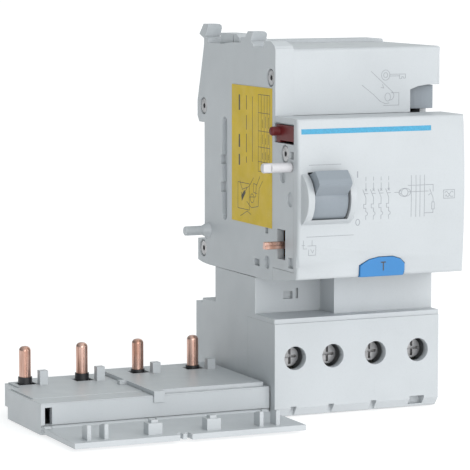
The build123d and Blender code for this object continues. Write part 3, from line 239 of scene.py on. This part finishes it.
def board(name):
    """Lacquered circuit board: dark green over a faint weave."""
    finish = Finish(name, coat=0.4)
    weave = finish.noise(size=0.4 * MM, detail=2, stretch=(1, 1, 4))
    finish.paint(finish.ramp(weave, [(NOISE_LOW, (0.012, 0.13, 0.05)), (NOISE_HIGH, (0.03, 0.22, 0.09))]))
    finish.rough(finish.spread(finish.noise(size=4 * MM), low=0.25, high=0.4))
    finish.bump(weave, height=0.01 * MM, strength=0.5)
    return finish.material


CASING = (0.475, 0.50, 0.52)
COPPER = (0.66, 0.44, 0.37)
DARK_COPPER = (0.50, 0.28, 0.21)
STEEL = (0.62, 0.62, 0.63)
ALONG_Z = (1, 1, 6)

finishes = {
    "casing": plastic("casing", CASING),
    "toggle_grey": plastic("toggle_grey", (0.235, 0.267, 0.30), rough=(0.34, 0.46)),
    "button_blue": plastic("button_blue", (0.026, 0.185, 0.45), rough=(0.36, 0.46)),
    "lever_red": plastic("lever_red", (0.115, 0.004, 0.005), rough=(0.4, 0.52), drift=0.08),
    "pin_white": plastic("pin_white", (0.56, 0.555, 0.575), rough=(0.4, 0.5)),
    "label_yellow": paper("label_yellow", (0.62, 0.44, 0.02)),
    "copper": metal("copper", COPPER, DARK_COPPER, stretch=ALONG_Z),
    "clip_grey": plastic("clip_grey", scaled(CASING, 0.92)),
    "steel": metal("steel", STEEL, scaled(STEEL, 0.6)),
    "spring_steel": metal("spring_steel", scaled(STEEL, 0.85), scaled(STEEL, 0.5), rough=(0.2, 0.35)),
    "rivet_steel": metal("rivet_steel", scaled(STEEL, 0.8), scaled(STEEL, 0.58), rough=(0.25, 0.45)),
    "core_grey": plastic("core_grey", (0.12, 0.13, 0.15), rough=(0.5, 0.65), drift=0.1),
    "winding_wire": metal("winding_wire", (0.55, 0.20, 0.09), (0.35, 0.11, 0.05), coat=0.5),
    "relay_black": plastic("relay_black", (0.03, 0.03, 0.035), drift=0.15),
    "board_green": board("board_green"),
    "resistor_tan": plastic("resistor_tan", (0.62, 0.50, 0.33), drift=0.1),
    "sleeve_black": plastic("sleeve_black", (0.012, 0.012, 0.014), rough=(0.25, 0.4), drift=0.2),
    "screw_steel": metal("screw_steel", scaled(STEEL, 0.62), scaled(STEEL, 0.48), rough=(0.3, 0.42)),
    "cage_steel": metal("cage_steel", (0.60, 0.59, 0.54), (0.4, 0.39, 0.33)),
    "print_blue": ink("print_blue", (0.038, 0.28, 0.46)),
    "print_grey": ink("print_grey", (0.27, 0.285, 0.31)),
    "print_black": ink("print_black", (0.05, 0.045, 0.03)),
}
slot_of = {row["node"]: row["material_slot"] for row in frame["record"]["subparts"]}


def dress(piece, slot):
    """Gives a piece its finish in every material slot it has."""
    if not piece.material_slots:
        piece.data.materials.append(finishes[slot])
    for place in piece.material_slots:
        place.material = finishes[slot]


# ---------------------------------------------------------------- CAD nodes

# Widths of the rounded edges: FINE on thin or small pieces, SOFT on the rest.
FINE = 0.12 * MM
SOFT = 0.28 * MM
EDGE_SEGMENTS = 2
SHARP_ANGLE = math.radians(33)
FLAT_ANGLE = math.radians(0.4)
WELD = 0.002 * MM
edge_width = {
    "left_shell": SOFT,
    "right_shell": SOFT,
    "shoulder_cover": SOFT,
    "terminal_front": SOFT,
    "terminal_rear": SOFT,
    "arm_base": SOFT,
    "arm_cover": FINE,
    "raised_cover": FINE,
    "front_cover": FINE,
    "terminal_flap": FINE,
    "toggle": FINE,
    "interlock_lever": FINE,
    "test_button": FINE,
    "release_button": FINE,
    "din_clip": SOFT,
    "test_contact": FINE,
}


def soften(node, width):
    """Rounds a node's sharp edges with modifiers, so that they catch the light. Its own mesh stays."""
    weld = node.modifiers.new("weld", "WELD")
    weld.merge_threshold = WELD
    flat = node.modifiers.new("flat", "DECIMATE")
    flat.decimate_type = "DISSOLVE"
    flat.angle_limit = FLAT_ANGLE
    round_edges = node.modifiers.new("round_edges", "BEVEL")
    round_edges.width = width
    round_edges.segments = EDGE_SEGMENTS
    round_edges.limit_method = "ANGLE"
    round_edges.angle_limit = SHARP_ANGLE
    round_edges.use_clamp_overlap = True
    round_edges.harden_normals = True


for name, node in nodes.items():
    dress(node, slot_of[name])
    if name in edge_width:
        soften(node, edge_width[name])


# ---------------------------------------------------------------- printed marks


# Where a line turns back on itself, the sum of its two directions is shorter than TURNED_BACK.
# MITRE_LIMIT keeps the ink short at a sharp corner.
TURNED_BACK = 0.1
MITRE_LIMIT = 0.5


class Face:
    """One side of a CAD node that prints lie on. Points are (across, up) in millimetres."""

    def __init__(self, node, side=False):
        mesh = nodes[node].data
        corners = [v.co.copy() for v in mesh.vertices]
        self.tree = BVHTree.FromPolygons(corners, [p.vertices[:] for p in mesh.polygons])
        self.side = side
        self.inward = Vector((1, 0, 0)) if side else Vector((0, 1, 0))

    def point(self, across, up, depth):
        """The point on the surface, moved inwards by depth."""
        flat = Vector((0, across, up)) if self.side else Vector((across, 0, up))
        start = CORNER + flat * MM - self.inward * FAR
        hit = self.tree.ray_cast(start, self.inward)[0]
        return hit + self.inward * depth


def stations(points, closed):
    """The points of a line with more between them, so that it follows a curved face."""
    ends = list(zip(points, points[1:] + points[:1] if closed else points[1:]))
    result = []
    for start, end in ends:
        start, end = Vector(start), Vector(end)
        count = max(1, math.ceil((end - start).length / LINE_STEP))
        result += [start.lerp(end, i / count) for i in range(count)]
    return result if closed else result + [Vector(points[-1])]


def stroke(mesh, face, points, width, closed=False):
    """A line of ink as a thin closed strip along the points."""
    line = stations(points, closed)
    count = len(line)
    rings = []
    for i, here in enumerate(line):
        before = line[i - 1] if closed or i else here
        after = line[(i + 1) % count] if closed or i < count - 1 else here
        along_in = (here - before).normalized() if here != before else (after - here).normalized()
        along_out = (after - here).normalized() if after != here else along_in
        both = along_in + along_out
        along = both.normalized() if both.length > TURNED_BACK else along_out
        across = Vector((-along.y, along.x)) * width / 2
        across /= max(MITRE_LIMIT, along.dot(along_out))
        ring = []
        for side, depth in ((1, INK_DEPTH), (1, -INK_HEIGHT), (-1, -INK_HEIGHT), (-1, INK_DEPTH)):
            spot = here + across * side
            ring.append(mesh.verts.new(face.point(spot.x, spot.y, depth)))
        rings.append(ring)
    pairs = list(zip(rings, rings[1:] + rings[:1] if closed else rings[1:]))
    for first, second in pairs:
        for k in range(4):
            mesh.faces.new((first[k], first[k - 1], second[k - 1], second[k]))
    if not closed:
        mesh.faces.new(rings[0])
        mesh.faces.new(reversed(rings[-1]))


def patch(mesh, face, outline):
    """A filled shape of ink."""
    top = [mesh.verts.new(face.point(x, y, -INK_HEIGHT)) for x, y in outline]
    low = [mesh.verts.new(face.point(x, y, INK_DEPTH)) for x, y in outline]
    mesh.faces.new(top)
    mesh.faces.new(reversed(low))
    for i in range(len(outline)):
        mesh.faces.new((top[i - 1], low[i - 1], low[i], top[i]))


def arc(x, y, radius, start=0, end=360, steps=16, squash=1.0):
    """Points round a centre, from one angle to another in degrees."""
    turns = [math.radians(start + (end - start) * i / steps) for i in range(steps + 1)]
    if end - start == 360:
        turns = turns[:-1]
    return [(x + radius * math.cos(t), y + radius * squash * math.sin(t)) for t in turns]


def box_line(x0, y0, x1, y1):
    return [(x0, y0), (x1, y0), (x1, y1), (x0, y1)]


def new_piece(name, mesh):
    """Puts a finished bmesh into the scene as an object, with its faces turned outwards."""
    bmesh.ops.recalc_face_normals(mesh, faces=mesh.faces)
    data = bpy.data.meshes.new(name)
    mesh.to_mesh(data)
    mesh.free()
    piece = bpy.data.objects.new(name, data)
    bpy.context.scene.collection.objects.link(piece)
    return piece


def printed(name, slot, body, face, lines=(), loops=(), fills=()):
    """A piece of print: open lines and closed loops as (width, points), and filled outlines."""
    mesh = bmesh.new()
    for width, points in lines:
        stroke(mesh, face, points, width)
    for width, points in loops:
        stroke(mesh, face, points, width, closed=True)
    for outline in fills:
        patch(mesh, face, outline)
    piece = new_piece(name, mesh)
    dress(piece, slot)
    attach(piece, body)


# Widths of the printed lines, in millimetres.
HAIR = 0.16
THIN = 0.22
BOLD = 0.34
BAR = 0.9
STRIPE = 1.45


def front_stripe(face):
    printed("front_stripe", "print_blue", "block", face, lines=[(STRIPE, [(1.2, 41.5), (42.0, 41.5)])])


def toggle_marks(face):
    """I and 0 beside the toggle's two positions."""
    lines = [(BOLD, [(18.4, 28.2), (18.4, 30.0)])]
    loops = [(THIN, arc(18.5, 15.6, 0.62, squash=1.4))]
    printed("toggle_marks", "print_grey", "block", face, lines, loops)


# Where the wiring diagram's poles and wires stand, and where the dashes that link its poles start.
POLE_X = (21.0, 23.4, 25.8, 28.2)
WIRE_X = (35.4, 36.9, 38.2, 39.6)
DASH_X = (20.4, 22.8, 25.2, 27.6, 30.0)


def pole(x):
    """One pole of the breaker symbol: terminal, contact, overload box and hook."""
    return [
        (HAIR, [(x, 28.3), (x, 27.2)]),
        (HAIR, [(x, 26.6), (x, 24.6)]),
        (HAIR, [(x - 1.0, 24.8), (x, 22.4), (x, 21.4)]),
        (HAIR, [(x - 0.35, 24.95), (x + 0.35, 24.25)]),
        (HAIR, [(x - 0.35, 24.25), (x + 0.35, 24.95)]),
        (HAIR, [(x, 21.4), (x, 20.6), (x - 0.7, 20.6), (x - 0.7, 19.5), (x, 19.5), (x, 18.6)]),
        (HAIR, [(x, 18.6)] + arc(x, 17.9, 0.55, 90, -90, steps=6) + [(x, 17.3), (x, 16.2)]),
    ]


def wiring_diagram(face):
    """Four linked poles, a ring with four wires beside it, and the test circuit."""
    lines = [part for x in POLE_X for part in pole(x)]
    lines += [(HAIR, [(x, 23.6), (x + 1.3, 23.6)]) for x in DASH_X]
    lines += [(HAIR, [(x, 28.3), (x, 16.4)]) for x in WIRE_X]
    lines += [
        (HAIR, [(31.4, 23.6), (32.2, 24.2)]),
        (HAIR, [(31.4, 23.6), (32.2, 23.0)]),
        (HAIR, [(34.3, 25.4), (42.4, 25.4), (42.4, 23.4)]),
        (HAIR, [(34.3, 23.6), (40.9, 23.6)]),
        (HAIR, [(41.3, 24.2), (42.4, 21.6)]),
        (HAIR, [(42.4, 21.6), (42.4, 20.4)]),
        (HAIR, [(42.4, 18.4), (42.4, 17.4), (39.6, 17.4)]),
        (HAIR, [(40.8, 22.4), (41.6, 22.9)]),
    ]
    loops = [(HAIR, arc(33.3, 23.5, 1.05)), (HAIR, arc(33.3, 23.5, 1.9, squash=0.62))]
    loops += [(HAIR, box_line(42.0, 18.4, 42.8, 20.4))]
    printed("wiring_diagram", "print_grey", "block", face, lines, loops)


def current_symbol(face):
    """Generic sign for the kind of leakage current: a wave over pulses in a frame."""
    wave = [(46.2 + 0.3 * i, 22.9 + 0.42 * math.sin(i * math.pi / 3)) for i in range(10)]
    pulses = [(46.3, 21.8), (46.6, 22.3), (46.9, 21.8), (47.4, 21.8)]
    pulses += [(47.7, 22.3), (48.0, 21.8), (48.9, 21.8)]
    lines = [(HAIR, wave), (HAIR, pulses)]
    loops = [(HAIR, box_line(45.8, 21.3, 49.3, 23.7))]
    printed("current_symbol", "print_grey", "block", face, lines, loops)


def mounting_symbol(face):
    """Small sign at the nose's lower left: a contact pin beside its socket."""
    lines = [
        (HAIR, [(1.7, 11.2), (1.7, 8.8), (2.9, 8.8)]),
        (HAIR, [(1.2, 9.8), (2.2, 9.8)]),
        (HAIR, [(4.4, 11.2), (4.4, 9.6)]),
        (HAIR, [(3.0, 9.6), (5.6, 9.6), (5.6, 6.9), (3.4, 6.9), (3.4, 8.6)]),
        (HAIR, [(4.0, 8.6), (4.6, 7.6), (5.0, 8.4)]),
    ]
    printed("mounting_symbol", "print_grey", "block", face, lines)


def toggle_line_and_shadow(face):
    """Grey lines above and below the toggle: the lower one is a painted shadow under the toggle's lower lip.
    """
    lines = [
        # Painted shadow under the toggle's lower lip.
        (HAIR, [(2.6, 12.1), (17.3, 12.1)]),
        (HAIR, [(3.3, 32.2), (13.3, 32.2)]),
    ]
    printed("toggle_line_and_shadow", "print_grey", "block", face, lines)


def key_sign(face):
    """Key above a finger that presses a button."""
    teeth = [(39.4, 55.9), (39.4, 54.8), (40.1, 54.8), (40.1, 55.3)]
    teeth += [(40.7, 55.3), (40.7, 54.9), (41.3, 54.9)]
    lines = [
        (HAIR, [(36.2, 56.1), (41.3, 56.1), (41.3, 54.9)]),
        (HAIR, [(36.2, 55.6), (39.4, 55.6)]),
        (HAIR, teeth),
        (HAIR, [(30.2, 57.1), (37.0, 51.2)] + arc(36.3, 50.0, 1.3, 50, -100, steps=6)),
        (HAIR, [(27.3, 53.2), (31.0, 50.4), (33.2, 48.4), (34.8, 47.7), (36.1, 47.9)]),
        (HAIR, [(33.9, 53.3), (34.3, 52.2), (33.4, 52.4)]),
        (HAIR, [(36.6, 50.8), (39.2, 50.8), (39.2, 47.2), (34.2, 47.2)]),
    ]
    loops = [(HAIR, arc(34.9, 55.9, 1.35, squash=1.1)), (HAIR, arc(34.9, 55.9, 0.65, squash=1.1))]
    loops += [(HAIR, arc(35.6, 49.6, 0.9, squash=1.3))]
    printed("key_sign", "print_grey", "block", face, lines, loops)


def test_mark(face):
    """T on the test button."""
    lines = [(BOLD, [(26.0, 3.9), (27.6, 3.9)]), (BOLD, [(26.8, 3.8), (26.8, 1.5)])]
    printed("test_mark", "print_black", "test_button", face, lines)


def terminal_outline(face):
    """Raised outline low on the terminal block's front."""
    lines = [
        (HAIR, [(32.0, -38.6), (32.0, -33.2), (43.9, -33.2)]),
        (HAIR, [(43.9, -33.2), (43.9, -36.0), (50.6, -36.0)]),
        (HAIR, [(32.0, -38.2), (34.4, -37.6), (43.0, -37.6)]),
    ]
    printed("terminal_outline", "casing", "block", face, lines)


def label_table(face):
    """Ruled table and rows of plain bars on the label. They run up the label, as its print does."""
    loops = [(HAIR, box_line(17.6, 28.6, 25.4, 50.6))]
    lines = [(HAIR, [(x, 28.6), (x, 50.6)]) for x in (19.4, 21.4, 23.4)]
    lines += [(HAIR, [(17.6, z), (25.4, z)]) for z in (31.4, 35.6, 40.2, 45.4)]
    for column, lengths in ((18.5, (1.6, 2.9, 3.2)), (20.4, (2.2, 1.8, 3.4)), (22.4, (1.9, 2.7, 2.4))):
        for row, length in zip((32.2, 36.6, 41.2), lengths):
            lines.append((THIN, [(column, row), (column, row + length)]))
    for column, width, bars in (
        (29.4, THIN, ((31.0, 49.8),)),
        (33.6, BOLD, ((30.4, 32.2), (33.4, 38.8), (40.0, 44.2), (45.8, 49.9))),
        (38.6, BAR, ((29.4, 32.6), (34.6, 38.4), (45.4, 49.9))),
    ):
        lines += [(width, [(column, low), (column, high)]) for low, high in bars]
    printed("label_table", "print_black", "block", face, lines, loops)


def label_figure(face):
    """Small drawing on the label: a finger tip, a switch and its leads."""
    lines = [
        (HAIR, [(24.2, 27.2), (26.8, 24.0), (27.2, 21.0), (31.6, 20.6)]),
        (HAIR, [(22.4, 26.0), (24.8, 23.6), (25.4, 18.4), (30.2, 17.6), (33.4, 19.2)]),
        (HAIR, [(28.6, 26.4), (31.8, 23.6), (36.6, 22.4), (38.2, 24.8)]),
        (THIN, [(33.0, 23.4), (36.2, 20.2), (37.4, 21.6)]),
        (HAIR, [(30.4, 15.6), (33.0, 16.4), (37.8, 14.6)]),
        (HAIR, [(26.2, 22.0), (28.6, 22.2), (28.6, 24.8), (26.4, 24.6)]),
    ]
    loops = [(HAIR, box_line(31.6, 16.8, 39.6, 24.4)), (HAIR, arc(29.6, 20.4, 1.3))]
    fills = [[(34.2, 21.6), (36.8, 19.0), (37.2, 20.6), (35.0, 22.4)]]
    printed("label_figure", "print_black", "block", face, lines, loops, fills)


nose_front = Face("front_cover")
front_stripe(nose_front)
toggle_marks(nose_front)
wiring_diagram(nose_front)
current_symbol(nose_front)
mounting_symbol(nose_front)
toggle_line_and_shadow(nose_front)
key_sign(Face("shoulder_cover"))
test_mark(Face("test_button"))
terminal_outline(Face("terminal_front"))
label_face = Face("rating_label", side=True)
label_table(label_face)
label_figure(label_face)


# ---------------------------------------------------------------- compression springs

# The wire is a pipe with WIRE_SIDES sides and TURN_STEPS rings in each turn. END_TURNS lie flat at each end.
WIRE_SIDES = 12
TURN_STEPS = 28
END_TURNS = 0.9
along_y = Vector((0, 1, 0))
along_z = Vector((0, 0, 1))


def coil_turn(share, turns, rise):
    """How far along the spring the wire is after a share of its turns: the end turns lie flat."""
    flat = END_TURNS / turns
    return min(1.0, max(0.0, (share - flat) / (1 - 2 * flat))) * rise


def wound_spring(node, axis, wire_radius, turns):
    """Wound wire in place of a CAD spring."""
    low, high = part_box(node)
    side = along_z.cross(axis) if axis != along_z else Vector((1, 0, 0))
    other = axis.cross(side)
    middle = (low + high) / 2
    length = (high - low).dot(axis)
    radius = (high - low).dot(along_z if axis != along_z else along_y) / 2 - wire_radius
    foot = middle - axis * (length / 2 - wire_radius)
    mesh = bmesh.new()
    rings = []
    count = round(turns * TURN_STEPS)
    for i in range(count + 1):
        angle = math.tau * i / TURN_STEPS
        outward = side * math.cos(angle) + other * math.sin(angle)
        centre = foot + outward * radius + axis * coil_turn(i / count, turns, length - 2 * wire_radius)
        ring = []
        for k in range(WIRE_SIDES):
            turn = math.tau * k / WIRE_SIDES
            from_centre = outward * math.cos(turn) + axis * math.sin(turn)
            ring.append(mesh.verts.new(centre + from_centre * wire_radius))
        rings.append(ring)
    for first, second in zip(rings, rings[1:]):
        for k in range(WIRE_SIDES):
            mesh.faces.new((first[k - 1], first[k], second[k], second[k - 1]))
    mesh.faces.new(rings[0])
    mesh.faces.new(reversed(rings[-1]))
    piece = new_piece(f"{node}_wire", mesh)
    piece.data.shade_smooth()
    dress(piece, "spring_steel")
    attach(piece, "block")
    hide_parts(node)
    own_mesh(piece)


# Node, axis, radius of the wire and turns.
wound_spring("test_spring", along_y, 0.2 * MM, 5.8)
wound_spring("release_spring", along_y, 0.25 * MM, 4.8)
wound_spring("clip_spring", along_z, 0.25 * MM, 9.8)


# ---------------------------------------------------------------- camera, light and floor

# The camera looks at TARGET from DISTANCE away. Its view is turned by YAW from +Y towards +X, and
# down by PITCH.
TARGET = Vector((-3.35, -15.45, 53.2)) * MM
YAW = math.radians(24.11)
PITCH = math.radians(6.38)
DISTANCE = 750 * MM
LENS = 203.54
CLIP_END = 30


def place_camera():
    aim = Vector((math.sin(YAW) * math.cos(PITCH), math.cos(YAW) * math.cos(PITCH), -math.sin(PITCH)))
    data = bpy.data.cameras.new("camera")
    data.lens = LENS
    data.clip_end = CLIP_END
    camera = bpy.data.objects.new("camera", data)
    camera.location = TARGET - aim * DISTANCE
    camera.rotation_euler = aim.to_track_quat("-Z", "Y").to_euler()
    bpy.context.scene.collection.objects.link(camera)
    bpy.context.scene.camera = camera


LIGHT_AIM = Vector((0, 0, 0.05))


def softbox(name, place, size, power):
    """Square area light that faces the object: size in metres, power in watts."""
    data = bpy.data.lights.new(name, "AREA")
    data.size = size
    data.energy = power
    light = bpy.data.objects.new(name, data)
    light.location = place
    light.rotation_euler = (LIGHT_AIM - Vector(place)).to_track_quat("-Z", "Y").to_euler()
    bpy.context.scene.collection.objects.link(light)


# The surroundings fade by the cosine of the angle to BRIGHT_SIDE, between these two values.
BRIGHT_SIDE = (0.84, -0.48, 0.26)
FADE_DARK = -0.9
FADE_BRIGHT = 0.5
DARK_WORLD = 0.2
BRIGHT_WORLD = 1.12
DARK_TINT = (0.86, 0.97, 1.0, 1)
BRIGHT_TINT = (0.985, 1.0, 1.0, 1)


def studio_world():
    """White surroundings that turn darker and cooler away from BRIGHT_SIDE."""
    world = bpy.data.worlds.new("studio")
    world.use_nodes = True
    tree = world.node_tree
    place = tree.nodes.new("ShaderNodeTexCoord")
    towards = tree.nodes.new("ShaderNodeVectorMath")
    towards.operation = "DOT_PRODUCT"
    towards.inputs[1].default_value = BRIGHT_SIDE
    fade = tree.nodes.new("ShaderNodeMapRange")
    fade.inputs["From Min"].default_value = FADE_DARK
    fade.inputs["From Max"].default_value = FADE_BRIGHT
    fade.inputs["To Min"].default_value = DARK_WORLD
    fade.inputs["To Max"].default_value = BRIGHT_WORLD
    tree.links.new(place.outputs["Generated"], towards.inputs[0])
    tree.links.new(towards.outputs["Value"], fade.inputs["Value"])
    tree.links.new(fade.outputs["Result"], tree.nodes["Background"].inputs["Strength"])
    share = tree.nodes.new("ShaderNodeMapRange")
    share.inputs["From Min"].default_value = DARK_WORLD
    share.inputs["From Max"].default_value = BRIGHT_WORLD
    tint = tree.nodes.new("ShaderNodeMix")
    tint.data_type = "RGBA"
    tint.inputs[MIX_FIRST].default_value = DARK_TINT
    tint.inputs[MIX_SECOND].default_value = BRIGHT_TINT
    tree.links.new(fade.outputs["Result"], share.inputs["Value"])
    tree.links.new(share.outputs["Result"], tint.inputs["Factor"])
    tree.links.new(tint.outputs[MIX_RESULT], tree.nodes["Background"].inputs["Color"])
    bpy.context.scene.world = world


FLOOR_SIZE = 12
FLOOR_CELLS = 8
FLOOR_GAP = 0.3 * MM
FLOOR_DARK = (0.50, 0.50, 0.50)
FLOOR_LIGHT = (0.52, 0.52, 0.52)
FLOOR_ROUGHNESS = 0.9
FLOOR_GLOW = 0.62


def lay_floor():
    """Large sheet under the object. Its own light helps it to come out white."""
    mesh = bmesh.new()
    bmesh.ops.create_grid(mesh, x_segments=FLOOR_CELLS, y_segments=FLOOR_CELLS, size=FLOOR_SIZE)
    data = bpy.data.meshes.new("floor")
    mesh.to_mesh(data)
    mesh.free()
    floor = bpy.data.objects.new("floor", data)
    floor.location.z = cad_box[0].z - FLOOR_GAP
    finish = Finish("floor")
    tone = finish.noise(size=0.4, detail=2)
    finish.paint(finish.ramp(tone, [(NOISE_LOW, FLOOR_DARK), (NOISE_HIGH, FLOOR_LIGHT)]))
    finish.shader.inputs["Roughness"].default_value = FLOOR_ROUGHNESS
    finish.shader.inputs["Emission Color"].default_value = (*WHITE, 1)
    finish.shader.inputs["Emission Strength"].default_value = FLOOR_GLOW
    data.materials.append(finish.material)
    bpy.context.scene.collection.objects.link(floor)


place_camera()
studio_world()
lay_floor()
softbox("key", place=(0.35, -1.0, 0.3), size=0.8, power=3.5)
softbox("low_fill", place=(-0.25, -0.95, 0.16), size=0.6, power=2.6)
bpy.context.scene.view_settings.view_transform = "Standard"
